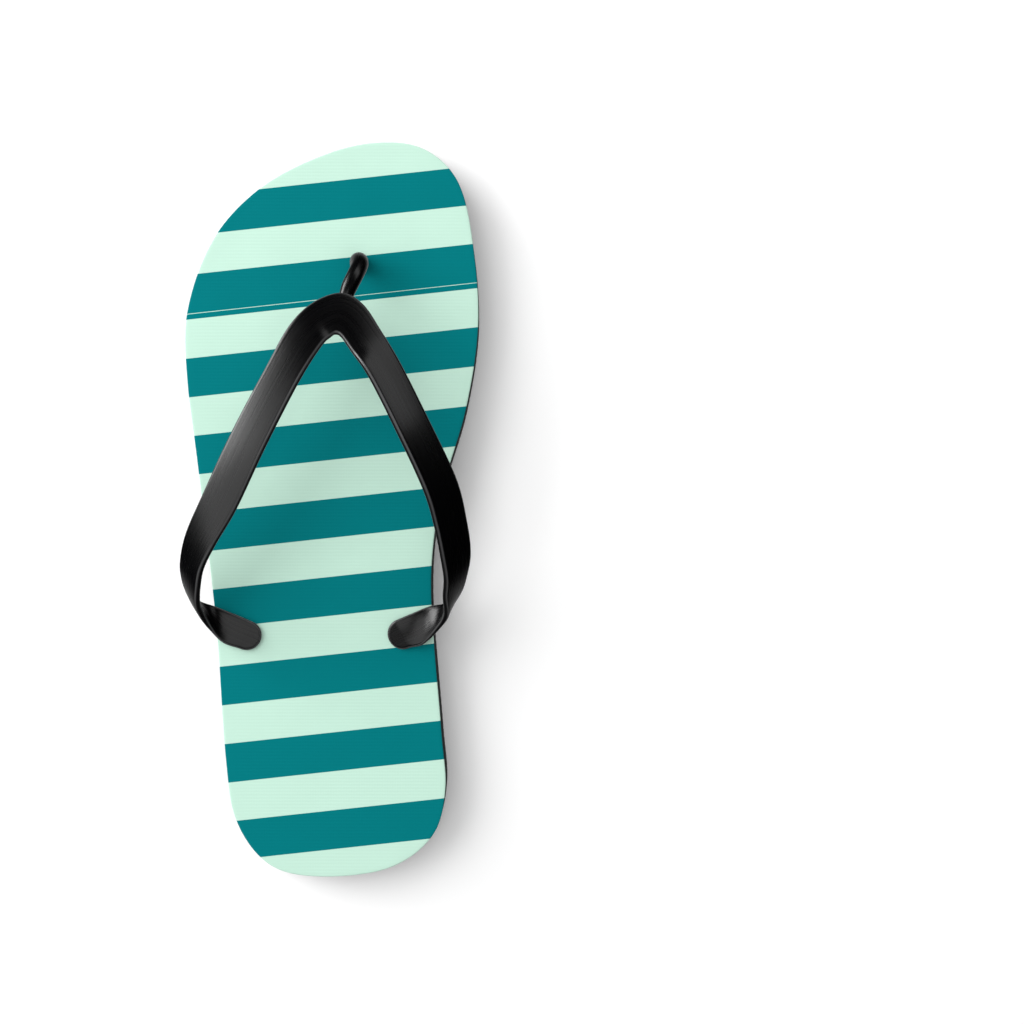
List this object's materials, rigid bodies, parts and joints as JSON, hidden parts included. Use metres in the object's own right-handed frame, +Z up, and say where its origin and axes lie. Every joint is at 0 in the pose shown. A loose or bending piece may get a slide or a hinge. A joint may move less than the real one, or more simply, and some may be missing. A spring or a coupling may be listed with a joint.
{
  "type": "flip flop",
  "caption": "Left-foot flip flop: flat die-cut sole with striped fabric footbed, patterned rubber tread and a moulded black thong strap held by recessed plugs.",
  "frame": {"origin": "centre of the sole's bounding box, on the tread face that it stands on", "axes": "+Y to the toe, +X to the inner (big toe) side, +Z up"},
  "size_m": [0.1075, 0.2691, 0.0565],
  "materials": {
    "outsole_rubber": "ribbed matt black rubber with a diamond groove pattern",
    "midsole_foam": "die-cut black closed-cell foam",
    "footbed_fabric": "printed polyester with teal and mint stripes",
    "strap_pvc": "satin moulded soft black PVC",
    "plug_pvc": "matt moulded dark grey PVC"
  },
  "bodies": {
    "root": {"outsole": "outsole_rubber", "midsole": "midsole_foam", "top_fabric": "footbed_fabric", "strap": "strap_pvc", "toe_plug": "plug_pvc", "inner_plug": "plug_pvc", "outer_plug": "plug_pvc"}
  },
  "joints": []
}
